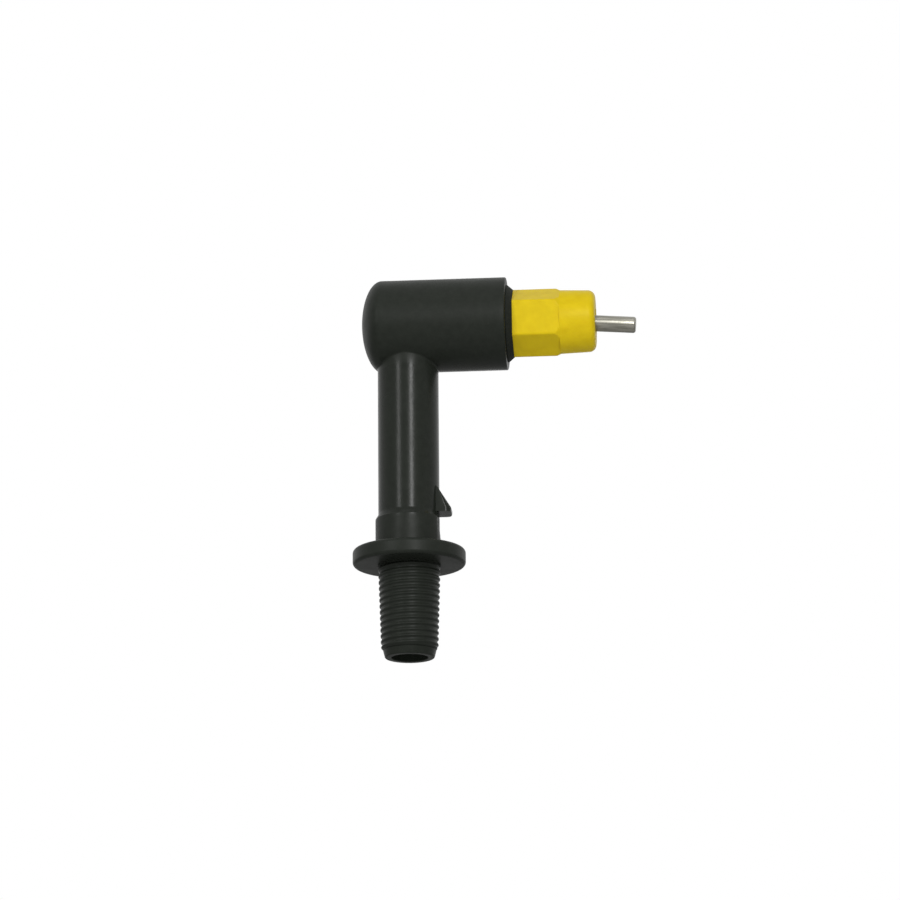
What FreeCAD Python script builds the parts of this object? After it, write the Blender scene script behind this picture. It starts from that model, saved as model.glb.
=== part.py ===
import FreeCAD, Part
import math
import os

# Rabbit nipple drinker. A black moulded elbow screws into a water line by the tapered thread at its foot, and a
# cage wire clips between its hook and its flange. The yellow nipple sits in the elbow's head. A loose steel pin
# sticks out of the nipple: pushed or tilted, it lifts a sprung ball off a rubber seat and lets water out.
#
# Millimetres. The origin is on the stem's axis at the flange's underside, +Z runs up the stem to the head, and +X
# is the way the nipple points. "Reach" is a distance along X from the stem's axis, "height" one along Z from the
# origin.

# Head of the elbow
head_height = 41.05
head_radius = 7.75
head_reach = 16.6
dome_depth = 3.5
dome_overlap = 0.95
mouth_bevel = 0.25

# Stem, collar, flange and hook
stem_radius = 5.05
collar_step = 0.48
collar_drop = 0.9
collar_bevel = 0.8
collar_flat_depth = 0.2
flange_radius = 9.3
flange_thickness = 2.65
flange_bevel = 0.45
wire_gap = 6.0
hook_reach = 2.03
hook_rise = 4.0
hook_width = 4.2
hook_corner = 1.0
hook_nose_rise = 0.75
hook_nose_round = 0.3

# Tapered thread and pilot at the foot. A taper of 1 in 16 on the diameter is 1 in 32 on the radius. The thread is
# drawn with this many flat facets to a turn. It starts below a short plain neck that stands out past its ridge, and
# its end is sunk this deep into the pilot, downwards and inwards.
thread_radius = 5.14
thread_length = 14.25
thread_pitch = 1.0
thread_depth = 0.4
taper_on_radius = 1 / 32
thread_facets = 16
thread_sunk = 0.15
neck_length = 0.3
neck_stand = 0.04
pilot_length = 1.2
pilot_radius = 4.35
pilot_end_radius = 4.05
pilot_bevel = 0.3

# Water way through the stem. The bore behind the nipple ends this far past it.
water_way_radius = 3.0
head_bore_margin = 0.5

# Nipple body
hex_across_flats = 10.0
hex_length = 7.8
hex_chamfer_length = 0.8
hex_turn_deg = 5.4
nose_length = 5.85
nose_base_radius = 5.3
nose_end_radius = 5.1
nose_round = 1.2
spigot_radius = 4.95
spigot_length = 8.0
spring_bore_radius = 3.3
lip_thickness = 1.3

# Seal between the head's mouth and the hexagon
seal_thickness = 1.1
seal_radius = 6.6
seal_end_radius = 5.65

# Trigger pin
pin_radius = 1.35
pin_stick_out = 6.7
pin_tip_bevel = 0.35
pin_droop_deg = 4.3
pin_swing_deg = 3.5
pin_travel = 0.7
pin_head_radius = 2.3
pin_head_thickness = 0.8
pin_head_play = 0.3
pin_stub_radius = 0.85

# Valve
ball_radius = 1.75
seat_bore_radius = 1.35
seat_thickness = 1.0
follower_radius = 2.85
follower_rim = 0.8
follower_length = 2.2
follower_floor = 1.15
follower_stub_radius = 1.35
follower_stub_length = 2.4
spring_wire_radius = 0.2
spring_turns = 5
spring_steps = 6
plug_thickness = 1.6
plug_slot_width = 1.6
plug_slot_depth = 1.3
plug_hole_radius = 1.0

# Clearances
running_clearance = 0.06
contact_gap = 0.04
push_fit_clearance = 0.02
screw_fit_clearance = 0.03

# Small distance by which a cutting tool runs past the faces that it opens
past = 1.0

# Rounds on turned outlines are drawn as this many short bevels, and the dome as this many bands
round_steps = 2
dome_bands = 4

# Places that follow from the sizes
hook_height = flange_thickness + wire_gap
foot_height = -thread_length - pilot_length
seal_end = head_reach + seal_thickness
hex_end = seal_end + hex_length
nose_end = hex_end + nose_length
lip_back = nose_end - lip_thickness
pin_head_front = lip_back - pin_head_play
pin_head_back = pin_head_front - pin_head_thickness
swing_limit_deg = math.hypot(pin_droop_deg, pin_swing_deg)
head_tilt_reach = pin_head_radius * math.sin(math.radians(swing_limit_deg))
seat_front = pin_head_back - pin_travel - head_tilt_reach - contact_gap
seat_back = seat_front - seat_thickness
ball_reach = seat_back - contact_gap - math.sqrt(ball_radius ** 2 - seat_bore_radius ** 2)
pin_back = ball_reach + ball_radius + contact_gap
spigot_back = head_reach - spigot_length
plug_front = spigot_back + plug_thickness
follower_front = ball_reach - ball_radius + follower_rim
follower_back = follower_front - follower_length

V = FreeCAD.Vector


def lines_through(points):
    """Straight edges from each point to the next."""
    return [Part.makeLine(a, b) for a, b in zip(points, points[1:]) if a.distanceToPoint(b) > 1e-6]


def turned_about(axis, points, rounds=None):
    """Solid turned about the X or Z axis from the points of a closed outline, with some corners rounded."""
    outline = bevelled_points(points, rounds or {})
    face = Part.Face(Part.Wire(lines_through(outline + outline[:1])))
    return face.revolve(V(0, 0, 0), axis, 360)


def turned(profile, rounds=None):
    """Solid turned about X from the (reach, radius) corners of its outline."""
    return turned_about(V(1, 0, 0), [V(reach, radius, 0) for reach, radius in profile], rounds)


def turned_upright(profile, rounds=None):
    """Solid turned about Z from the (radius, height) corners of its outline."""
    return turned_about(V(0, 0, 1), [V(radius, 0, height) for radius, height in profile], rounds)


def corner_arc(before, corner, after, radius):
    """Start, middle and end of the arc that rounds a corner between two straight runs."""
    into = (before - corner).normalize()
    out = (after - corner).normalize()
    half = into.getAngle(out) / 2
    tangent = radius / math.tan(half)
    centre = corner + (into + out).normalize() * (radius / math.sin(half))
    middle = centre + (corner - centre).normalize() * radius
    return corner + into * tangent, middle, corner + out * tangent


def rounded_outline(points, rounds):
    """Closed outline with true arcs. rounds gives a corner's radius by its place in the list."""
    edges = []
    ends = []
    count = len(points)
    for i, corner in enumerate(points):
        if i in rounds:
            start, middle, end = corner_arc(points[i - 1], corner, points[(i + 1) % count], rounds[i])
            edges.append(Part.Arc(start, middle, end).toShape())
            ends.append((start, end))
        else:
            ends.append((corner, corner))
    for i in range(count):
        edges += lines_through([ends[i][1], ends[(i + 1) % count][0]])
    return Part.Wire(Part.__sortEdges__(edges))


def bevelled_points(points, rounds):
    """The points with each corner in rounds, a radius by its place in the list, replaced by points on its arc."""
    result = []
    count = len(points)
    for i, corner in enumerate(points):
        if i in rounds:
            arc = Part.Arc(*corner_arc(points[i - 1], corner, points[(i + 1) % count], rounds[i]))
            result += arc.discretize(round_steps + 1)
        else:
            result.append(corner)
    return result


def on_head_axis(shape):
    """Lifts a shape that was made about the X axis onto the axis of the head."""
    shape.translate(V(0, 0, head_height))
    return shape


def head_blank():
    """Solid head: a cylinder along X whose closed end is half an ellipsoid."""
    dome_start = dome_overlap - stem_radius
    profile = [
        (head_reach, 0),
        (head_reach, head_radius - mouth_bevel),
        (head_reach - mouth_bevel, head_radius),
    ]
    for band in range(dome_bands + 1):
        angle = math.pi / 2 * band / dome_bands
        profile.append((dome_start - dome_depth * math.sin(angle), head_radius * math.cos(angle)))
    return on_head_axis(turned(profile))


def stem_blank():
    """Solid stem with the flange and the neck below it."""
    neck_radius = thread_radius + neck_stand
    profile = [
        (0, head_height),
        (stem_radius, head_height),
        (stem_radius, flange_thickness),
        (flange_radius - flange_bevel, flange_thickness),
        (flange_radius, flange_thickness - flange_bevel),
        (flange_radius, flange_bevel),
        (flange_radius - flange_bevel, 0),
        (neck_radius, 0),
        (neck_radius, -neck_length),
        (0, -neck_length),
    ]
    return turned_upright(profile)


def pilot():
    """Plain end that leads the thread into its socket."""
    return turned_upright([
        (0, -thread_length),
        (pilot_radius, -thread_length),
        (pilot_end_radius, foot_height + pilot_bevel),
        (pilot_end_radius - pilot_bevel, foot_height),
        (0, foot_height),
    ])


def thread_corner(line, step):
    """Corner of the thread's facets, by its line and by its step round the axis.

    The lines climb one pitch a turn. Even ones run along the ridge and odd ones along the groove. The ridge shrinks
    to the pilot's radius at the thread's foot.
    """
    height = flange_thickness - thread_pitch * (line / 2 - step / thread_facets)
    radius = thread_radius + taper_on_radius * height
    if line % 2:
        radius -= thread_depth
    radius = min(radius, pilot_radius - thread_sunk + max(0, height + thread_length))
    angle = 2 * math.pi * step / thread_facets
    return V(radius * math.cos(angle), radius * math.sin(angle), height)


def facet(*corners):
    """Flat face through its corners."""
    return Part.Face(Part.makePolygon(corners + corners[:1]))


def thread():
    """Right-handed thread from inside the flange to inside the pilot.

    Facets span each pair of lines. After one turn a line meets the next but one. A fan of facets closes each end,
    and both fans are trimmed away.
    """
    top = flange_thickness / 2
    bottom = -thread_length - thread_sunk
    lines = 2 * math.ceil((flange_thickness - bottom) / thread_pitch + 1)
    facets = []
    for line in range(lines):
        for step in range(thread_facets):
            here, beside = thread_corner(line, step), thread_corner(line, step + 1)
            below, across = thread_corner(line + 1, step), thread_corner(line + 1, step + 1)
            facets += [facet(here, beside, across), facet(here, across, below)]
    for end in (0, lines):
        middle = V(0, 0, flange_thickness - thread_pitch * (end - 1) / 2)
        for step in range(thread_facets):
            facets.append(facet(middle, thread_corner(end, step), thread_corner(end, step + 1)))
        for line in (end - 2, end - 1):
            facets.append(facet(middle, thread_corner(line, 0), thread_corner(line + 1, 0)))
    shell = Part.makeShell(facets)
    shell.sewShape()
    rod = Part.makeSolid(shell)
    return rod.common(Part.makeCylinder(thread_radius + past, top - bottom, V(0, 0, bottom)))


def collar():
    """Thicker ring of stem between the flange and the hook, bevelled on top and cut away flat below the hook."""
    radius = stem_radius + collar_step
    top = hook_height - collar_drop
    ring = turned_upright([
        (0, 0),
        (radius, 0),
        (radius, top),
        (stem_radius, top + collar_bevel),
        (0, top + collar_bevel),
    ])
    flat_reach = stem_radius - collar_flat_depth
    beyond = Part.makeBox(radius, 4 * radius, 2 * hook_height, V(flat_reach, -2 * radius, flange_thickness))
    return ring.cut(beyond)


def hook():
    """Barb that holds the cage wire: flat below, sloping above, with rounded corners seen from the top."""
    tip = stem_radius + hook_reach
    inside = stem_radius / 2
    half = hook_width / 2
    top = hook_height + hook_rise
    side = rounded_outline([
        V(inside, -half, hook_height),
        V(tip, -half, hook_height),
        V(tip, -half, hook_height + hook_nose_rise),
        V(stem_radius, -half, top),
        V(inside, -half, top + hook_rise / 2),
    ], {1: hook_nose_round, 2: hook_nose_round})
    plan = rounded_outline([
        V(0, -half, 0),
        V(tip, -half, 0),
        V(tip, half, 0),
        V(0, half, 0),
    ], {1: hook_corner, 2: hook_corner})
    barb = Part.Face(side).extrude(V(0, hook_width, 0))
    column = Part.Face(plan).extrude(V(0, 0, top + hook_rise))
    return barb.common(column)


def elbow_bores():
    """Water way up the stem, and the bore that takes the nipple's spigot and ends just past the water way."""
    foot = foot_height - past
    water_way = Part.makeCylinder(water_way_radius, head_height - foot, V(0, 0, foot))
    bore_end = -water_way_radius - head_bore_margin
    bore_radius = spigot_radius + screw_fit_clearance
    start = V(bore_end, 0, head_height)
    return Part.makeCylinder(bore_radius, head_reach + past - bore_end, start, V(1, 0, 0)).fuse(water_way)


def elbow_body():
    """The black moulding."""
    outside = head_blank().fuse([stem_blank(), collar(), hook(), thread(), pilot()])
    return outside.cut(elbow_bores()).removeSplitter()


def socket_seal():
    """Conical ring squeezed between the head's mouth and the hexagon."""
    inner = spigot_radius + push_fit_clearance
    return on_head_axis(turned([
        (head_reach, inner),
        (head_reach, seal_radius),
        (seal_end, seal_end_radius),
        (seal_end, inner),
    ]))


def hexagon():
    """Hexagonal prism along X with its front corners bevelled down to the nose.

    Two of its flats face the sides, but for the few degrees by which the nipple is screwed in further.
    """
    corner = hex_across_flats / 2 / math.cos(math.pi / 6)
    angles = [k * math.pi / 3 - math.radians(hex_turn_deg) for k in range(7)]
    ring = [V(seal_end, corner * math.sin(angle), corner * math.cos(angle)) for angle in angles]
    prism = Part.Face(Part.makePolygon(ring)).extrude(V(hex_length, 0, 0))
    bevel_start = hex_end - hex_chamfer_length
    envelope = turned([
        (seal_end - past, 0),
        (seal_end - past, corner + past),
        (bevel_start, corner + past),
        (bevel_start, corner),
        (hex_end, nose_base_radius),
        (hex_end, 0),
    ])
    return prism.common(envelope)


def nose():
    """Round, slightly tapered end that the animal licks."""
    inside = hex_end - hex_chamfer_length
    return turned([
        (inside, 0),
        (inside, nose_base_radius / 2),
        (hex_end, nose_base_radius),
        (nose_end, nose_end_radius),
        (nose_end, 0),
    ], {3: nose_round})


def spigot():
    """Part of the nipple that screws into the head."""
    return turned([
        (spigot_back, 0),
        (spigot_back, spigot_radius),
        (seal_end, spigot_radius),
        (seal_end, 0),
    ])


def nipple_bores():
    """Spring bore from the back, the pin head's chamber and the hole in the lip.

    The chamber and the hole leave room for the pin at its largest tilt, and the hole also for the pushed pin.
    """
    tilt = math.radians(swing_limit_deg)
    chamber = pin_head_radius + (pin_head_front - ball_reach) * math.sin(tilt) + running_clearance
    hole = pin_radius / math.cos(tilt) + (nose_end - ball_reach + pin_travel) * math.tan(tilt) + running_clearance
    return turned([
        (spigot_back - past, 0),
        (spigot_back - past, spring_bore_radius),
        (seat_front, spring_bore_radius),
        (seat_front, chamber),
        (lip_back, chamber),
        (lip_back, hole),
        (nose_end + past, hole),
        (nose_end + past, 0),
    ])


def nipple_body():
    """The yellow moulding."""
    outside = hexagon().fuse([nose(), spigot()])
    return on_head_axis(outside.cut(nipple_bores()).removeSplitter())


def valve_seat():
    """Rubber ring that the ball closes."""
    outer = spring_bore_radius - push_fit_clearance
    return on_head_axis(turned([
        (seat_back, seat_bore_radius),
        (seat_back, outer),
        (seat_front, outer),
        (seat_front, seat_bore_radius),
    ]))


def valve_ball():
    """Steel ball."""
    return Part.makeSphere(ball_radius, V(ball_reach, 0, head_height))


def ball_follower():
    """Cup that carries the spring's push to the ball, with a stub that keeps the spring on its axis.

    The cup's wall is a 45 degree cone, so its tip lies the root of two ball radii behind the ball's centre.
    """
    cone_tip = ball_reach - (ball_radius + contact_gap) * math.sqrt(2)
    floor = follower_back + follower_floor
    return on_head_axis(turned([
        (follower_back - follower_stub_length, 0),
        (follower_back - follower_stub_length, follower_stub_radius),
        (follower_back, follower_stub_radius),
        (follower_back, follower_radius),
        (follower_front, follower_radius),
        (follower_front, follower_front - cone_tip),
        (floor, floor - cone_tip),
        (floor, 0),
    ]))


def valve_spring():
    """Helical spring between the plug and the follower. Its wire is drawn square, with the round wire's section."""
    coil_radius = (follower_stub_radius + follower_radius) / 2
    half_side = spring_wire_radius * math.sqrt(math.pi) / 2
    start = plug_front + contact_gap + half_side
    end = follower_back - contact_gap - half_side
    count = spring_turns * spring_steps
    sections = []
    for i in range(count + 1):
        reach = start + (end - start) * i / count
        angle = 2 * math.pi * i / spring_steps
        outward = V(0, math.cos(angle), math.sin(angle))
        along = V(half_side, 0, 0)
        inner = V(reach, 0, 0) + outward * (coil_radius - half_side)
        outer = V(reach, 0, 0) + outward * (coil_radius + half_side)
        corners = [inner - along, outer - along, outer + along, inner + along]
        sections.append(Part.makePolygon(corners + corners[:1]))
    return on_head_axis(Part.makeLoft(sections, True, True))


def spring_plug():
    """Plug pressed into the back of the nipple. Water passes through its hole and the slots round its edge."""
    outer = spring_bore_radius - push_fit_clearance
    blank = turned([
        (spigot_back, 0),
        (spigot_back, outer),
        (plug_front, outer),
        (plug_front, 0),
    ])
    long_enough = plug_thickness + 2 * past
    slots = []
    for quarter in range(4):
        slot = Part.makeBox(
            long_enough,
            plug_slot_width,
            plug_slot_depth + past,
            V(spigot_back - past, -plug_slot_width / 2, outer - plug_slot_depth),
        )
        slot.rotate(V(0, 0, 0), V(1, 0, 0), 90 * quarter)
        slots.append(slot)
    hole = Part.makeCylinder(plug_hole_radius, long_enough, V(spigot_back - past, 0, 0), V(1, 0, 0))
    return on_head_axis(blank.cut(slots + [hole]))


def trigger_pin():
    """Steel pin with a head that keeps it in the nipple. It rests drooping, turned about the ball's centre."""
    tip = nose_end + pin_stick_out
    pin = turned([
        (pin_back, 0),
        (pin_back, pin_stub_radius),
        (pin_head_back, pin_stub_radius),
        (pin_head_back, pin_head_radius),
        (pin_head_front, pin_head_radius),
        (pin_head_front, pin_radius),
        (tip - pin_tip_bevel, pin_radius),
        (tip, pin_radius - pin_tip_bevel),
        (tip, 0),
    ])
    pin.rotate(V(ball_reach, 0, 0), V(0, 1, 0), pin_droop_deg)
    return on_head_axis(pin)


def export_all():
    """Writes one STEP file for each sub-part."""
    os.makedirs("parts", exist_ok=True)
    makers = [
        elbow_body,
        socket_seal,
        nipple_body,
        valve_seat,
        valve_ball,
        ball_follower,
        valve_spring,
        spring_plug,
        trigger_pin,
    ]
    for maker in makers:
        shape = maker()
        shape.exportStep("parts/" + maker.__name__ + ".step")
        print(maker.__name__, shape.ShapeType, shape.isValid(), round(shape.Volume, 2), "mm3")


export_all()
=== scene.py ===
# %% [markdown]
# # Rabbit nipple drinker
#
# This lesson dresses a small water fitting: a black elbow with a glossy stem and a tapered thread at its
# foot, a yellow nipple in its head, and a loose steel pin that the animal pushes. The rigid model comes
# from CAD, where curved faces are loose flat triangles. Here each visible part is made again as a smooth
# surface in the same place, worked out with numpy as a function of two parameters, and then gets its
# finish.

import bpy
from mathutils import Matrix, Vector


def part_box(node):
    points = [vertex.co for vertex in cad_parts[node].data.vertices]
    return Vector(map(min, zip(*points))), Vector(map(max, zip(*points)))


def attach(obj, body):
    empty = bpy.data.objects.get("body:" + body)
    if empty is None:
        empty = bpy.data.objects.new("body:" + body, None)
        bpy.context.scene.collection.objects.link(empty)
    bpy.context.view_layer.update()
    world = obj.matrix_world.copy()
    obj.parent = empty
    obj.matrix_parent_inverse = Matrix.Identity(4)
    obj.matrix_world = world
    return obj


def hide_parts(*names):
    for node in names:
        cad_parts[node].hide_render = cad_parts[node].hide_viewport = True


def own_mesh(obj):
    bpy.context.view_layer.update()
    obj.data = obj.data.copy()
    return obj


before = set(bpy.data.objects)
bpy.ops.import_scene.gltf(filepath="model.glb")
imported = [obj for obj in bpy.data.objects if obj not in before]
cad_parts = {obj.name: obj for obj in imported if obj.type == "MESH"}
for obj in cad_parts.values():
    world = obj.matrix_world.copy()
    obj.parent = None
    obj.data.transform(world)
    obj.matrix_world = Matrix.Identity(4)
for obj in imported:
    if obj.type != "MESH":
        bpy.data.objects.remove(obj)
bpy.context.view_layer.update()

# %% Libraries
import math

import bmesh
import bpy
import numpy as np
from mathutils import Matrix, Vector

# %% [markdown]
# ## Sizes
#
# Everything is worked out in millimetres and scaled to metres when a mesh is finished. The large sizes
# are read from the CAD nodes' boxes, so the surfaces follow if the model is packed again. The smaller
# ones are named where each piece is made.


# %% Sizes read from the CAD model
def node_box(node):
    """Lowest and highest corner of a CAD node, in mm."""
    low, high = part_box(node)
    return np.array(low) * 1000, np.array(high) * 1000


elbow_low, elbow_high = node_box("elbow_body")
nipple_low, nipple_high = node_box("nipple_body")
seal_low, seal_high = node_box("socket_seal")
ball_low, ball_high = node_box("valve_ball")

head_reach = elbow_high[0]
head_height = seal_low[2] / 2 + seal_high[2] / 2
head_radius = elbow_high[2] - head_height
foot_height = elbow_low[2]
flange_radius = elbow_high[1]
seal_end = seal_high[0]
seal_radius = seal_high[2] - head_height
nose_end = nipple_high[0]
spigot_back = nipple_low[0]
ball_radius = (ball_high[0] - ball_low[0]) / 2
ball_reach = (ball_high[0] + ball_low[0]) / 2
print("head axis at", round(head_height, 3), "mm, head radius", round(head_radius, 3), "mm")
print("ball's centre at", round(ball_reach, 3), "mm")

# %% [markdown]
# ## Helpers for surfaces
#
# A turned part is a profile swept round an axis. A moulded one is nearly the same, but its radius also
# depends on the angle. Both are a grid: rows along the axis, columns round it. One helper turns any such
# grid into a closed mesh, and merges the points that meet at a pole. Blender's Screw or Spin tools would
# sweep a profile too, but a grid from a formula also gives the thread, the hexagon and the fillet.


# %% Places round the two axes
def angles(columns):
    """Evenly spaced angles round a full turn, one for each column of a grid."""
    return np.arange(columns) * (2 * np.pi / columns)


def about_stem(height, radius, angle):
    """Points round the stem's axis: x = radius cos angle, y = radius sin angle, z = height."""
    height, radius, angle = np.broadcast_arrays(height, radius, angle)
    return np.stack([radius * np.cos(angle), radius * np.sin(angle), height], axis=-1)


def about_head(reach, radius, angle):
    """Points round the head's axis: x = reach, y = radius sin angle, z = head height + radius cos angle."""
    reach, radius, angle = np.broadcast_arrays(reach, radius, angle)
    return np.stack([reach, radius * np.sin(angle), head_height + radius * np.cos(angle)], axis=-1)


# %% Grid to mesh
weld_distance = 1e-4


def merged(mesh):
    """The same mesh with coinciding points made one and its faces pointing outwards."""
    work = bmesh.new()
    work.from_mesh(mesh)
    bmesh.ops.remove_doubles(work, verts=work.verts, dist=weld_distance)
    bmesh.ops.recalc_face_normals(work, faces=work.faces)
    work.to_mesh(mesh)
    work.free()
    return mesh


def skin(name, grid, seam_rows=None, rows_closed=False):
    """Closed mesh, in mm, over a grid of points.

    Neighbours in the grid are joined by four-cornered faces, and the last column to the first. seam_rows
    gives, for each row, the row that it meets across that seam, which a screw thread needs.
    """
    rows, columns = grid.shape[:2]
    ids = np.arange(rows * columns).reshape(rows, columns)
    seam = ids[:, 0] if seam_rows is None else ids[seam_rows, 0]
    ids = np.column_stack([ids, seam])
    if rows_closed:
        ids = np.vstack([ids, ids[:1]])
    faces = np.stack([ids[:-1, :-1], ids[:-1, 1:], ids[1:, 1:], ids[1:, :-1]], axis=-1)
    mesh = bpy.data.meshes.new(name)
    mesh.from_pydata(grid.reshape(-1, 3).tolist(), [], faces.reshape(-1, 4).tolist())
    return merged(mesh)


# %% Rounded profiles
def rounded(corners, rounds, steps=6):
    """Outline through (along, radius) corners, with arcs at the corners named in rounds.

    An arc of radius r touches both runs at r / tan(half the corner's angle) from the corner, and its centre
    lies at r / sin(half the angle) along the bisector.
    """
    corners = np.array(corners, float)
    outline = []
    for i, corner in enumerate(corners):
        if i not in rounds:
            outline.append(corner[None])
            continue
        into = corners[i - 1] - corner
        out = corners[(i + 1) % len(corners)] - corner
        into, out = into / np.linalg.norm(into), out / np.linalg.norm(out)
        half = math.acos(into @ out) / 2
        centre = corner + (into + out) / np.linalg.norm(into + out) * rounds[i] / math.sin(half)
        start = corner + into * rounds[i] / math.tan(half) - centre
        end = corner + out * rounds[i] / math.tan(half) - centre
        turn = math.pi - 2 * half
        share = np.linspace(0, 1, steps + 1)[:, None]
        arc = (np.sin((1 - share) * turn) * start + np.sin(share * turn) * end) / math.sin(turn)
        outline.append(centre + arc)
    return np.concatenate(outline)


def turned(name, place, outline, columns=160, rows_closed=False):
    """Closed mesh of an outline of (along, radius) points turned round the axis that place stands for."""
    along, radius = outline[:, :1], outline[:, 1:]
    return skin(name, place(along, radius, angles(columns)[None]), rows_closed=rows_closed)


# %% Uniting and cutting meshes
def shown_temporarily(mesh):
    """Object for a mesh that only takes part in a Boolean."""
    obj = bpy.data.objects.new(mesh.name, mesh)
    bpy.context.scene.collection.objects.link(obj)
    return obj


def moulded(name, solids, cuts):
    """One closed mesh: the first solid united with the others, then with the cuts taken away."""
    objects = [shown_temporarily(mesh) for mesh in [*solids, *cuts]]
    blank = objects[0]
    for number, tool in enumerate(objects[1:], 1):
        step = blank.modifiers.new(tool.name, "BOOLEAN")
        step.operation = "UNION" if number < len(solids) else "DIFFERENCE"
        step.solver = "MANIFOLD"
        step.object = tool
    graph = bpy.context.evaluated_depsgraph_get()
    result = bpy.data.meshes.new_from_object(blank.evaluated_get(graph))
    result.name = name
    for obj in objects:
        bpy.data.meshes.remove(obj.data)
    return merged(result)


# %% Finished pieces
metres_per_mm = 0.001
sharp_angle = math.radians(35)


def open_edges(mesh):
    """Number of edges that don't have exactly two faces, which is 0 for a closed mesh."""
    loop_edges = np.empty(len(mesh.loops), np.int32)
    mesh.loops.foreach_get("edge_index", loop_edges)
    return int((np.bincount(loop_edges, minlength=len(mesh.edges)) != 2).sum())


def piece(name, mesh, body, node):
    """Object for a mesh made in mm, smooth but for its sharp edges, that takes a CAD node's place."""
    mesh.transform(Matrix.Scale(metres_per_mm, 4))
    mesh.shade_smooth()
    mesh.set_sharp_from_angle(angle=sharp_angle)
    obj = bpy.data.objects.new(name, mesh)
    bpy.context.scene.collection.objects.link(obj)
    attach(obj, body)
    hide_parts(node)
    print(name, len(mesh.polygons), "faces,", open_edges(mesh), "open edges")
    return obj


# %% [markdown]
# ## Camera
#
# The photograph was taken from below and slightly to the right of square on, with a long lens. The camera
# comes first because each piece is compared with the photograph through it.

# %% Camera
view_azimuth = math.radians(4.4)
view_elevation = math.radians(-15.3)
view_roll = math.radians(-0.5)
view_distance = 0.7
aim = Vector((0.00687, 0, 0.01955))


def towards(azimuth, elevation):
    """Unit vector from the object to a place at an azimuth, where 0 is the front, and an elevation."""
    flat = math.cos(elevation)
    return Vector((math.sin(azimuth) * flat, -math.cos(azimuth) * flat, math.sin(elevation)))


camera = bpy.data.objects.new("camera", bpy.data.cameras.new("camera"))
camera.data.lens = 169.4
camera.data.sensor_width = 36
camera.data.clip_end = 20
back = towards(view_azimuth, view_elevation)
turn = (-back).to_track_quat("-Z", "Y").to_matrix() @ Matrix.Rotation(view_roll, 3, "Z")
camera.matrix_world = Matrix.Translation(aim + back * view_distance) @ turn.to_4x4()
bpy.context.scene.collection.objects.link(camera)
bpy.context.scene.camera = camera
print("camera at", [round(v, 3) for v in camera.matrix_world.translation])

# %% [markdown]
# ## Head of the elbow
#
# The head is a tube closed by a shallow dome. Its profile runs from the dome's pole, along a quarter of
# an ellipse, to the mouth, whose outer edge is slightly rounded. The same profile is wanted again for the
# fillet under the head, so it is kept in an array.

# %% Head
dome_start = -4.1
dome_depth = 3.5
mouth_round = 0.25
mouth_run = 1.0

dome_turn = np.linspace(0, np.pi / 2, 24)
dome_reach = dome_start - dome_depth * np.cos(dome_turn)
dome_radius = head_radius * np.sin(dome_turn)
tube_reach = np.linspace(dome_start, head_reach - mouth_run, 40)[1:]
mouth = rounded([
    (head_reach - mouth_run, head_radius),
    (head_reach, head_radius),
    (head_reach, 0),
], {1: mouth_round})[1:]
head_outline = np.concatenate([
    np.column_stack([dome_reach, dome_radius]),
    np.column_stack([tube_reach, np.full_like(tube_reach, head_radius)]),
    mouth,
])
head_skin = turned("head", about_head, head_outline, columns=240)
print("head:", len(head_skin.polygons), "faces")

# %% [markdown]
# ## Stem with the fillet under the head
#
# Where two tubes meet in a moulding, the mould has a small radius. A ball rolled into the corner gives
# it: its centre is one ball radius from both surfaces, and the fillet is the arc between the two points
# of contact. The stem is a polar grid whose upper rows are that arc. A Bevel modifier on the seam of a
# Boolean would have to guess it from many small edges.

# %% Rolling ball
stem_radius = 5.05
fillet_span = slice(0, len(dome_turn) + len(tube_reach) + 1)


def fillet_rows(angle, ball, steps):
    """Rows of points on the arc that a ball of the given radius leaves between stem and head.

    Its centre C is at the stem's radius plus the ball's. Above C the head's profile, moved outwards by the
    ball's radius, gives C's height. The row at share s is C plus the ball's radius along the direction that
    turns from the stem's wall to the head's surface. Also gives that last direction, into the head.
    """
    reach, radius = head_outline[fillet_span].T
    slope = np.gradient(reach), np.gradient(radius)
    length = np.hypot(*slope)
    normal_x, normal_r = -slope[1] / length, slope[0] / length
    moved_reach = reach + ball * normal_x
    moved_radius = radius + ball * normal_r
    order = np.argsort(moved_reach)
    cx, cy = (stem_radius + ball) * np.cos(angle), (stem_radius + ball) * np.sin(angle)
    offset = np.interp(cx, moved_reach[order], moved_radius[order])
    nx = np.interp(cx, moved_reach[order], normal_x[order])
    nr = np.interp(cx, moved_reach[order], normal_r[order])
    cz = head_height - np.sqrt(offset ** 2 - cy ** 2)
    centre = np.stack([cx, cy, cz], axis=-1)
    to_stem = np.stack([-np.cos(angle), -np.sin(angle), np.zeros_like(angle)], axis=-1)
    to_head = -np.stack([nx, nr * cy / offset, nr * (cz - head_height) / offset], axis=-1)
    between = np.arccos(np.sum(to_stem * to_head, axis=-1))[:, None]
    share = np.linspace(0, 1, steps + 1)[:, None, None]
    arc = (np.sin((1 - share) * between) * to_stem + np.sin(share * between) * to_head) / np.sin(between)
    return centre + ball * arc, to_head


# %% Stem
junction_fillet = 0.35
stem_in_flange = 1.0
stem_in_head = 0.6
stem_angle = angles(240)

fillet, inward = fillet_rows(stem_angle, junction_fillet, 8)
stem_bottom = about_stem(stem_in_flange, np.array([[0], [stem_radius]]), stem_angle[None])
stem_wall = about_stem(np.linspace(2, 30, 29)[:, None], stem_radius, stem_angle[None])
inside_head = fillet[-1] + inward * stem_in_head
stem_top = about_stem(head_height, 0, stem_angle[None])
stem_skin = skin("stem", np.concatenate([stem_bottom, stem_wall, fillet, inside_head[None], stem_top]))
print("stem:", len(stem_skin.polygons), "faces, fillet from z", round(float(fillet[0, :, 2].min()), 2), "mm")

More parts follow.
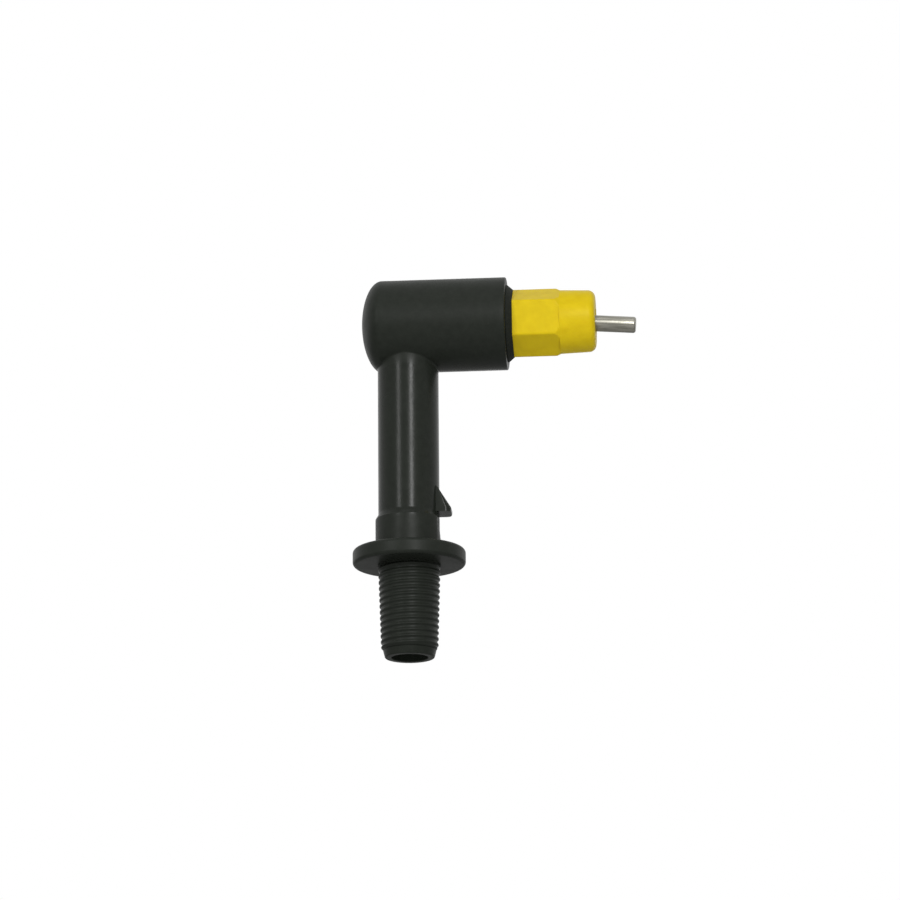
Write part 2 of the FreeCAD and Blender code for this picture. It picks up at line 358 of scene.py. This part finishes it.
# %% [markdown]
# ## Collar and flange
#
# The collar is a thicker ring round the stem's foot. Below the hook it is cut flat, so that the cage wire
# can lie against the stem. Its radius is therefore the smaller of the ring's and of a plane's, which in
# polar form is distance / cos angle. The flange is a plain turned disc with rounded rims.

# %% Collar
hook_height = 8.65
flange_thickness = 2.65
collar_radius = 5.53
collar_top = hook_height - 0.9
collar_bevel = 0.8
collar_round = 0.2
collar_flat_reach = 4.85
collar_in_flange = 1.0
least_facing = 0.1

collar_rows = rounded([
    (collar_in_flange, collar_radius),
    (collar_top, collar_radius),
    (collar_top + collar_bevel, stem_radius),
], {1: collar_round}, steps=4)
collar_height = np.concatenate([[collar_in_flange], collar_rows[:, 0], [collar_top + collar_bevel]])[:, None]
collar_wide = np.concatenate([[0.0], collar_rows[:, 1], [0.0]])[:, None]
facing = np.maximum(np.cos(stem_angle), least_facing)[None]
above_foot = collar_height > flange_thickness - collar_in_flange
flat = np.where(above_foot, collar_flat_reach / facing, collar_radius)
collar_skin = skin("collar", about_stem(collar_height, np.minimum(collar_wide, flat), stem_angle[None]))
print("collar:", len(collar_skin.polygons), "faces, top at", round(collar_top, 2), "mm")

# %% Flange
flange_round = 0.6
flange_outline = rounded([
    (0, 0),
    (0, flange_radius),
    (flange_thickness, flange_radius),
    (flange_thickness, 0),
], {1: flange_round, 2: flange_round}, steps=8)
flange_skin = turned("flange", about_stem, flange_outline, columns=len(stem_angle))
print("flange:", len(flange_skin.polygons), "faces, radius", round(float(flange_radius), 2), "mm")

# %% [markdown]
# ## Tapered thread
#
# A screw thread is a ridge that climbs one pitch a turn. If the rows of the grid climb with it, each
# ridge line runs along one row and stays crisp, where a level grid would cut it into steps. After a full
# turn a row meets the row one pitch further on, so the seam is joined with that shift. Rows that would
# run past either end stop at it, and the points that fall together there are merged.

# %% Shape of the thread
thread_pitch = 1.0
thread_turns = 15
thread_length = 14.25
thread_depth = 0.2
crest_flat = 0.125
root_flat = 0.25
first_crest = -0.35
crest_radius_at_flange = 5.14
taper = 1 / 32
pilot_radius = 4.35
thread_sunk = 0.15


def thread_radius(height, phase):
    """Radius of the threaded foot.

    The crest tapers by 1 in 32. Beside it the groove is a symmetrical V, rounded by the smoothstep
    3 g^2 - 2 g^3, with a flat of an eighth of a pitch on the crest, at whole phases, and a quarter at the
    root. A chamfer at the foot cuts the last turns and ends sunk in the pilot.
    """
    crest = crest_radius_at_flange + taper * height
    from_crest = np.abs((phase + 0.5) % 1 - 0.5) * 2
    groove = np.clip((from_crest - crest_flat) / (1 - crest_flat - root_flat), 0, 1)
    depth = thread_depth * groove ** 2 * (3 - 2 * groove)
    chamfer = pilot_radius - thread_sunk + (height + thread_length)
    return np.minimum(crest - depth, chamfer)


# %% Thread, with the neck above it and the pilot below
neck_length = 0.3
neck_radius = 5.18
neck_in_flange = 1.0
pilot_end_radius = 4.05
pilot_round = 0.3
rows_per_turn = 16

thread_rows = np.arange(-rows_per_turn, rows_per_turn * (thread_turns + 1) + 1)[:, None]
turned_share = (stem_angle / (2 * np.pi))[None]
free_height = first_crest + thread_pitch * (turned_share - thread_rows / rows_per_turn)
thread_height = np.clip(free_height, -thread_length, -neck_length)
phase = (first_crest - thread_height) / thread_pitch + turned_share
thread_grid = about_stem(thread_height, thread_radius(thread_height, phase), stem_angle[None])
neck_outline = np.array([(neck_in_flange, 0), (neck_in_flange, neck_radius), (-neck_length, neck_radius)])
pilot_outline = rounded([
    (-thread_length, pilot_radius),
    (foot_height, pilot_end_radius),
    (foot_height, 0),
], {1: pilot_round})
neck = about_stem(neck_outline[:, :1], neck_outline[:, 1:], stem_angle[None])
pilot = about_stem(pilot_outline[:, :1], pilot_outline[:, 1:], stem_angle[None])
seam_rows = np.arange(len(neck) + len(thread_rows) + len(pilot))
climbing = slice(len(neck) + rows_per_turn, len(neck) + len(thread_rows))
seam_rows[climbing] -= rows_per_turn
thread_skin = skin("thread", np.concatenate([neck, thread_grid, pilot]), seam_rows=seam_rows)
print("thread:", len(thread_skin.polygons), "faces,", thread_turns, "turns of", thread_pitch, "mm")

# %% [markdown]
# ## Hook
#
# The barb that holds the cage wire is flat below and slopes above. Its side view is an outline in x and
# z, and the grid carries that outline across its width, cut back near both sides by the rounded corners
# of its plan. Its root is hidden in the stem.

# %% Hook
hook_tip = stem_radius + 2.03
hook_half = 2.1
hook_corner = 1.0
hook_nose_rise = 0.75
hook_rise = 4.0
hook_root = 3.0
hook_root_rise = 6.0
hook_end_place = (3.5, 3.0)

hook_side = rounded([
    (hook_root, hook_height),
    (hook_tip, hook_height),
    (hook_tip, hook_height + hook_nose_rise),
    (stem_radius, hook_height + hook_rise),
    (hook_root, hook_height + hook_root_rise),
], {1: 0.3, 2: 0.4}, steps=5)
across = hook_half * np.sin(np.linspace(-np.pi / 2, np.pi / 2, 33))
into_corner = np.clip((np.abs(across) - hook_half + hook_corner) / hook_corner, 0, 1)
plan_reach = hook_tip - hook_corner * (1 - np.sqrt(1 - into_corner ** 2))
hook_x = np.minimum(hook_side[:, 0][None], plan_reach[:, None])
hook_z = np.broadcast_to(hook_side[:, 1][None], hook_x.shape)
hook_y = np.broadcast_to(across[:, None], hook_x.shape)
hook_grid = np.stack([hook_x, hook_y, hook_z], axis=-1)
end_x, end_rise = hook_end_place
hook_ends = [np.broadcast_to([end_x, side * hook_half, hook_height + end_rise], hook_grid[:1].shape)
             for side in (-1, 1)]
hook_skin = skin("hook", np.concatenate([hook_ends[0], hook_grid, hook_ends[1]]))
print("hook:", len(hook_skin.polygons), "faces, wire gap", round(hook_height - flange_thickness, 2), "mm")

# %% [markdown]
# ## Bores, and the whole elbow
#
# The water way runs up the stem into the bore that holds the nipple. Core pins leave them in the mould,
# each with a small lead-in, so they are cut last. Booleans join the skins because each is closed and they
# cross cleanly.

# %% Elbow
water_way_radius = 3.0
water_way_lead_in = 0.1
bore_radius = 4.98
bore_lead_in = 0.15
bore_end = -3.5
cut_past = 1.0

water_way = turned("water_way", about_stem, np.array([
    (foot_height - cut_past, 0),
    (foot_height - cut_past, water_way_radius + water_way_lead_in + cut_past),
    (foot_height + water_way_lead_in, water_way_radius),
    (head_height, water_way_radius),
    (head_height, 0),
]), columns=120)
head_bore = turned("head_bore", about_head, np.array([
    (bore_end, 0),
    (bore_end, bore_radius),
    (head_reach - bore_lead_in, bore_radius),
    (head_reach + cut_past, bore_radius + bore_lead_in + cut_past),
    (head_reach + cut_past, 0),
]))
elbow_mesh = moulded(
    "elbow",
    [head_skin, stem_skin, collar_skin, flange_skin, thread_skin, hook_skin],
    [water_way, head_bore],
)
elbow = piece("black_elbow", elbow_mesh, "housing", "elbow_body")

# %% [markdown]
# ## Nipple
#
# The yellow moulding is a hexagon for the spanner that runs out into a round nose. In polar form a flat
# is distance / cos angle, its corners are small arcs, and a cone takes the hexagon's front corners away.
# A smooth minimum blends cone and flats, as the worn edge of the mould does.

# %% Shape of the hexagon
half_flats = 5.0
hex_corner_round = 0.45
hex_turn = math.radians(5.4)


def hexagon_radius(angle):
    """Radius of a hexagon with rounded corners, whose side flats are turned back from vertical by hex_turn.

    Near a flat it is half_flats / cos(angle from the flat's middle). Near a corner it is the far crossing
    with a circle of the corner's radius.
    """
    from_flat = (angle + hex_turn - np.pi / 2 + np.pi / 6) % (np.pi / 3) - np.pi / 6
    from_corner = np.pi / 6 - np.abs(from_flat)
    inner_half_flats = half_flats - hex_corner_round
    centre = inner_half_flats / math.cos(np.pi / 6)
    flat_radius = half_flats / np.cos(from_flat)
    inside_root = np.maximum(hex_corner_round ** 2 - (centre * np.sin(from_corner)) ** 2, 0)
    round_radius = centre * np.cos(from_corner) + np.sqrt(inside_root)
    on_flat = half_flats * np.tan(np.abs(from_flat)) < inner_half_flats * math.tan(np.pi / 6)
    return np.where(on_flat, flat_radius, round_radius)


def smooth_minimum(a, b, blend):
    """The smaller of a and b, with the crease between them rounded over the distance blend."""
    near = np.maximum(blend - np.abs(a - b), 0) / blend
    return np.minimum(a, b) - near ** 2 * blend / 4


# %% Nipple
hex_end = seal_end + 7.8
chamfer_start = hex_end - 0.8
chamfer_blend = 0.06
nose_base_radius = 5.3
nose_end_radius = 5.1
nose_round = 1.2
nose_step = 0.02
spigot_radius = 4.95
hole_radius = 2.02
hole_round = 0.25
chamber_radius = 2.74
spring_bore_radius = 3.3
lip_back = nose_end - 1.3
seat_front = 27.988

nipple_angle = angles(360)[None]
hex_reach = np.linspace(seal_end, hex_end - nose_step, 70)[:, None]
corner_radius = half_flats / math.cos(np.pi / 6)
cone_slope = (corner_radius - nose_base_radius) / (hex_end - chamfer_start)
cone = corner_radius - cone_slope * (hex_reach - chamfer_start)
hex_rows = smooth_minimum(hexagon_radius(nipple_angle), cone, chamfer_blend)
back_rows = about_head(np.array([[spigot_back], [spigot_back], [seal_end]]),
                       np.array([[spring_bore_radius], [spigot_radius], [spigot_radius]]), nipple_angle)
nose_outline = rounded([
    (hex_end, nose_base_radius),
    (nose_end, nose_end_radius),
    (nose_end, hole_radius),
    (lip_back, hole_radius),
    (lip_back, chamber_radius),
    (seat_front, chamber_radius),
    (seat_front, spring_bore_radius),
], {1: nose_round, 2: hole_round}, steps=8)
nipple_grid = np.concatenate([
    back_rows,
    about_head(hex_reach, hex_rows, nipple_angle),
    about_head(nose_outline[:, :1], nose_outline[:, 1:], nipple_angle),
])
nipple_mesh = skin("nipple", nipple_grid, rows_closed=True)
nipple = piece("yellow_nipple", nipple_mesh, "housing", "nipple_body")

# %% [markdown]
# ## Seal, ball and pin
#
# These are turned parts, so each is an outline swept round the head's axis. The seal is a rubber ring,
# pressed thinner towards the hexagon. The pin hangs down a little at rest, turned about the ball's
# centre, because its hole is wider than it is.

# %% Seal and ball
seal_end_radius = 5.65
seal_round = 0.12
seal_gap = 0.02

seal_mesh = turned("seal", about_head, rounded([
    (head_reach, spigot_radius + seal_gap),
    (head_reach, seal_radius),
    (seal_end, seal_end_radius),
    (seal_end, spigot_radius + seal_gap),
], {1: seal_round, 2: seal_round}), rows_closed=True)
seal = piece("rubber_seal", seal_mesh, "housing", "socket_seal")

ball_turn = np.linspace(0, np.pi, 40)
ball_outline = np.column_stack([
    ball_reach - ball_radius * np.cos(ball_turn),
    ball_radius * np.sin(ball_turn),
])
ball_mesh = turned("ball", about_head, ball_outline, columns=80)
ball = piece("steel_ball", ball_mesh, "ball", "valve_ball")

# %% Pin
pin_radius = 1.35
pin_tip_round = 0.42
pin_head_radius = 2.3
pin_head_round = 0.1
pin_stub_radius = 0.85
pin_back = 27.624
pin_head_back = 28.95
pin_head_front = 29.75
pin_tip = nose_end + 6.7
pin_droop = math.radians(4.3)


def drooping(reach, radius, angle):
    """Points round the pin's own axis, which is turned about the ball's centre to hang by the droop."""
    straight = about_head(reach, radius, angle)
    x, z = straight[..., 0] - ball_reach, straight[..., 2] - head_height
    turned_x = x * math.cos(pin_droop) + z * math.sin(pin_droop)
    turned_z = z * math.cos(pin_droop) - x * math.sin(pin_droop)
    return np.stack([turned_x + ball_reach, straight[..., 1], turned_z + head_height], axis=-1)


pin_mesh = turned("pin", drooping, rounded([
    (pin_back, 0),
    (pin_back, pin_stub_radius),
    (pin_head_back, pin_stub_radius),
    (pin_head_back, pin_head_radius),
    (pin_head_front, pin_head_radius),
    (pin_head_front, pin_radius),
    (pin_tip, pin_radius),
    (pin_tip, 0),
], {3: pin_head_round, 4: pin_head_round, 6: pin_tip_round}), columns=128)
pin = piece("steel_pin", pin_mesh, "trigger", "trigger_pin")

# %% [markdown]
# ## Spring
#
# The spring behind the follower is a round wire on a helix. A curve with a bevel would make it too, but
# the grid needs no conversion: its rows follow the wire, its columns go round it, and the offset beside
# the wire is turned out of the helix's slope.

# %% Spring
spring_low, spring_high = node_box("valve_spring")
wire_radius = 0.2
coil_radius = 2.1
spring_turns = 5
rows_per_coil = 40

wire_start = spring_low[0] + wire_radius
wire_end = spring_high[0] - wire_radius
along_wire = np.linspace(0, 1, rows_per_coil * spring_turns + 1)[:, None]
round_wire = angles(16)[None]
climb = (wire_end - wire_start) / (2 * np.pi * spring_turns * coil_radius)
coil_turn = 2 * np.pi * spring_turns * along_wire
across_wire = wire_radius * np.cos(round_wire)
beside_wire = wire_radius * np.sin(round_wire) / math.hypot(1, climb)
spring_grid = np.stack([
    wire_start + (wire_end - wire_start) * along_wire + beside_wire,
    (coil_radius + across_wire) * np.cos(coil_turn) + climb * beside_wire * np.sin(coil_turn),
    head_height + (coil_radius + across_wire) * np.sin(coil_turn) - climb * beside_wire * np.cos(coil_turn),
], axis=-1)
spring_ends = [np.broadcast_to(end.mean(axis=0), (1, *end.shape)) for end in spring_grid[[0, -1]]]
spring_mesh = skin("spring", np.concatenate([spring_ends[0], spring_grid, spring_ends[1]]))
spring = piece("spring_wire", spring_mesh, "housing", "valve_spring")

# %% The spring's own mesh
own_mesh(spring)

# %% [markdown]
# ## Finishes
#
# Each finish is a Principled shader with a little unevenness, because a single flat colour never looks
# moulded. The patterns read Object coordinates, which are metres, so a scale of 1000 makes cells of about
# a millimetre.


# %% Shader and noise
def finish(name, colour, roughness, metallic=0.0, specular=0.5):
    """Material with a Principled shader, and that shader. Steady values are set on its own sockets."""
    material = bpy.data.materials.new(name)
    material.use_nodes = True
    shader = material.node_tree.nodes["Principled BSDF"]
    shader.inputs["Base Color"].default_value = (*colour, 1)
    shader.inputs["Roughness"].default_value = roughness
    shader.inputs["Metallic"].default_value = metallic
    shader.inputs["Specular IOR Level"].default_value = specular
    return material, shader


def noise(material, scale, detail=2.0, stretch=(1, 1, 1)):
    """Noise on Object coordinates: cells of about 1 / scale metres, longer where stretch is small."""
    nodes, links = material.node_tree.nodes, material.node_tree.links
    place = nodes.new("ShaderNodeTexCoord")
    mapping = nodes.new("ShaderNodeMapping")
    pattern = nodes.new("ShaderNodeTexNoise")
    mapping.inputs["Scale"].default_value = stretch
    pattern.inputs["Scale"].default_value = scale
    pattern.inputs["Detail"].default_value = detail
    links.new(place.outputs["Object"], mapping.inputs["Vector"])
    links.new(mapping.outputs["Vector"], pattern.inputs["Vector"])
    return pattern.outputs["Fac"]


# %% Ranges, colours and relief
def between(material, share, low, high, low_value, high_value):
    """Value that goes from low_value to high_value while share goes from low to high."""
    node = material.node_tree.nodes.new("ShaderNodeMapRange")
    sockets = {"From Min": low, "From Max": high, "To Min": low_value, "To Max": high_value}
    for socket, value in sockets.items():
        node.inputs[socket].default_value = value
    material.node_tree.links.new(share, node.inputs["Value"])
    return node.outputs["Result"]


def mottled(material, shader, share, dark, light):
    """Base colour that varies between two colours with share."""
    ramp = material.node_tree.nodes.new("ShaderNodeValToRGB")
    for element, colour, position in zip(ramp.color_ramp.elements, (dark, light), (0.3, 0.7)):
        element.color = (*colour, 1)
        element.position = position
    material.node_tree.links.new(share, ramp.inputs["Fac"])
    material.node_tree.links.new(ramp.outputs["Color"], shader.inputs["Base Color"])


def bumped(material, shader, height, distance):
    """Fine relief: height, from 0 to 1, stands for the given distance in metres."""
    node = material.node_tree.nodes.new("ShaderNodeBump")
    node.inputs["Distance"].default_value = distance
    node.inputs["Strength"].default_value = 1.0
    material.node_tree.links.new(height, node.inputs["Height"])
    material.node_tree.links.new(node.outputs["Normal"], shader.inputs["Normal"])


# %% [markdown]
# ### Black plastic
#
# The whole elbow is one plastic, but the mould was polished only along the stem. There it mirrors the
# lamps in two narrow streaks, while the head and the foot are satin. Height decides between the two: the
# roughness is the stem's, plus a share above the junction, a share below the collar, and small patches.

# %% Black plastic
black_plastic, black_shader = finish("black plastic", (0.013, 0.0153, 0.012), 0.3, specular=0.1)
black_noise = noise(black_plastic, 900)
mottled(black_plastic, black_shader, black_noise, (0.0115, 0.0137, 0.0106), (0.0145, 0.017, 0.0134))
bumped(black_plastic, black_shader, noise(black_plastic, 2600, 3), 0.000012)

# %% Gloss of the black plastic
junction_band = (0.033, 0.035)
collar_band = (0.0072, 0.008)
stem_roughness = 0.25
head_roughness = 0.46
foot_extra = 0.17
patch_extra = 0.03

black_nodes, black_links = black_plastic.node_tree.nodes, black_plastic.node_tree.links
black_place = black_nodes.new("ShaderNodeTexCoord")
black_split = black_nodes.new("ShaderNodeSeparateXYZ")
black_links.new(black_place.outputs["Object"], black_split.inputs["Vector"])
black_height = black_split.outputs["Z"]
gloss = between(black_plastic, black_height, *junction_band, stem_roughness, head_roughness)
foot_share = between(black_plastic, black_height, *collar_band, foot_extra, 0.0)
patches = between(black_plastic, noise(black_plastic, 350), 0.3, 0.7, -patch_extra, patch_extra)
for share in (foot_share, patches):
    summed = black_nodes.new("ShaderNodeMath")
    black_links.new(gloss, summed.inputs[0])
    black_links.new(share, summed.inputs[1])
    gloss = summed.outputs["Value"]
black_links.new(gloss, black_shader.inputs["Roughness"])
print("black plastic: roughness", stem_roughness, "on the stem,", head_roughness, "on the head")

# %% [markdown]
# ### Yellow plastic
#
# The nipple is a soft satin yellow. A little subsurface scattering lets light into its edges, which a
# painted surface wouldn't do.

# %% Yellow plastic
yellow_plastic, yellow_shader = finish("yellow plastic", (0.62, 0.455, 0.008), 0.38, specular=0.06)
yellow_noise = noise(yellow_plastic, 500)
mottled(yellow_plastic, yellow_shader, yellow_noise, (0.59, 0.43, 0.007), (0.65, 0.485, 0.009))
bumped(yellow_plastic, yellow_shader, noise(yellow_plastic, 2200, 3), 0.00001)
yellow_shader.inputs["Subsurface Weight"].default_value = 0.15
yellow_shader.inputs["Subsurface Scale"].default_value = 0.0008
yellow_shader.inputs["Subsurface Radius"].default_value = (1.0, 0.7, 0.1)
print("yellow plastic with", len(yellow_plastic.node_tree.nodes), "nodes")

# %% [markdown]
# ### Steel, rubber and the valve's plastic
#
# The pin is drawn wire, so its noise is stretched along X into fine lines. The ball and the spring are
# polished steel. The rubber is dull, and the plain valve pieces are off-white plastic.

# %% Steel
pin_steel, pin_shader = finish("drawn steel", (0.24, 0.235, 0.197), 0.3, metallic=1.0)
drawn_lines = noise(pin_steel, 2500, 3, (0.12, 1, 1))
mottled(pin_steel, pin_shader, drawn_lines, (0.18, 0.176, 0.148), (0.31, 0.3, 0.26))
bumped(pin_steel, pin_shader, noise(pin_steel, 6000, 2, (0.05, 1, 1)), 0.000008)

bright_steel, bright_shader = finish("polished steel", (0.60, 0.60, 0.58), 0.15, metallic=1.0)
mottled(bright_steel, bright_shader, noise(bright_steel, 1500), (0.56, 0.56, 0.54), (0.64, 0.64, 0.62))
print("steels:", pin_steel.name, "and", bright_steel.name)

# %% Rubber and the valve's plastic
rubber, rubber_shader = finish("seal rubber", (0.012, 0.014, 0.011), 0.7, specular=0.1)
mottled(rubber, rubber_shader, noise(rubber, 1800), (0.01, 0.012, 0.0095), (0.015, 0.017, 0.0135))
bumped(rubber, rubber_shader, noise(rubber, 4000, 3), 0.00002)

white_plastic, white_shader = finish("valve plastic", (0.72, 0.71, 0.67), 0.5)
mottled(white_plastic, white_shader, noise(white_plastic, 700), (0.68, 0.67, 0.63), (0.75, 0.74, 0.7))
bumped(white_plastic, white_shader, noise(white_plastic, 3000, 2), 0.00001)
print("others:", rubber.name, "and", white_plastic.name)

# %% Finishes on the pieces
finishes = {
    elbow: black_plastic,
    nipple: yellow_plastic,
    seal: rubber,
    pin: pin_steel,
    ball: bright_steel,
    spring: bright_steel,
    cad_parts["ball_follower"]: white_plastic,
    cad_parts["spring_plug"]: white_plastic,
    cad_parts["valve_seat"]: rubber,
}
for obj, material in finishes.items():
    obj.data.materials.clear()
    obj.data.materials.append(material)
print(len(finishes), "pieces finished")

# %% [markdown]
# ## Floor, surroundings and lamps
#
# The photograph's ground is pure white. The camera and the mirror-like rays see a white sky, but its
# light on the object stays dimmer: Light Path tells the rays that look at the sky from the rays that
# light with it. A pale floor lies well below the object. Two tall lamps make the streaks on the stem, and
# a weak one from above lights the top of the head.

# %% Floor
floor_height = -0.25
floor_half = 4
signs = ((-1, -1), (1, -1), (1, 1), (-1, 1))
floor_corners = [(x * floor_half, y * floor_half, floor_height) for x, y in signs]
floor_mesh = bpy.data.meshes.new("floor")
floor_mesh.from_pydata(floor_corners, [], [(0, 1, 2, 3)])
floor = bpy.data.objects.new("floor", floor_mesh)
bpy.context.scene.collection.objects.link(floor)
floor_paper, _ = finish("pale floor", (0.85, 0.85, 0.85), 0.9)
floor.data.materials.append(floor_paper)
print("floor at", floor_height, "m")

# %% World
sky_seen = 1.0
sky_lighting = 0.33

world = bpy.data.worlds.new("studio")
bpy.context.scene.world = world
world.use_nodes = True
world_nodes, world_links = world.node_tree.nodes, world.node_tree.links
path = world_nodes.new("ShaderNodeLightPath")
seen = path.outputs["Is Camera Ray"]
for ray in ("Is Glossy Ray", "Is Transmission Ray"):
    either = world_nodes.new("ShaderNodeMath")
    either.operation = "MAXIMUM"
    world_links.new(seen, either.inputs[0])
    world_links.new(path.outputs[ray], either.inputs[1])
    seen = either.outputs["Value"]
level = world_nodes.new("ShaderNodeMapRange")
level.inputs["To Min"].default_value = sky_lighting
level.inputs["To Max"].default_value = sky_seen
world_links.new(seen, level.inputs["Value"])
world_links.new(level.outputs["Result"], world_nodes["Background"].inputs["Strength"])
world_nodes["Background"].inputs["Color"].default_value = (1, 1, 1, 1)
print("sky seen at", sky_seen, "and lighting with", sky_lighting)

# %% Lamps
lamp_distance = 0.9


def lamp(name, azimuth, elevation, width, height, radiance):
    """Soft rectangular lamp that faces the object, in degrees and metres.

    A surface that sends out the same radiance everywhere has a power of radiance x pi x area.
    """
    light = bpy.data.lights.new(name, "AREA")
    light.shape = "RECTANGLE"
    light.size = width
    light.size_y = height
    light.energy = radiance * math.pi * width * height
    obj = bpy.data.objects.new(name, light)
    direction = towards(math.radians(azimuth), math.radians(elevation))
    turn = direction.to_track_quat("Z", "Y").to_matrix().to_4x4()
    obj.matrix_world = Matrix.Translation(aim + direction * lamp_distance) @ turn
    bpy.context.scene.collection.objects.link(obj)
    print(name, "with", round(light.energy, 2), "W")


lamp("right strip", 15.2, 16, width=0.105, height=0.32, radiance=44.0)
lamp("left strip", -32.7, 16, width=0.13, height=0.32, radiance=14.5)
lamp("overhead", 0, 62, width=0.5, height=0.25, radiance=1.0)

# %% View transform
bpy.context.scene.view_settings.view_transform = "Standard"
bpy.context.view_layer.update()
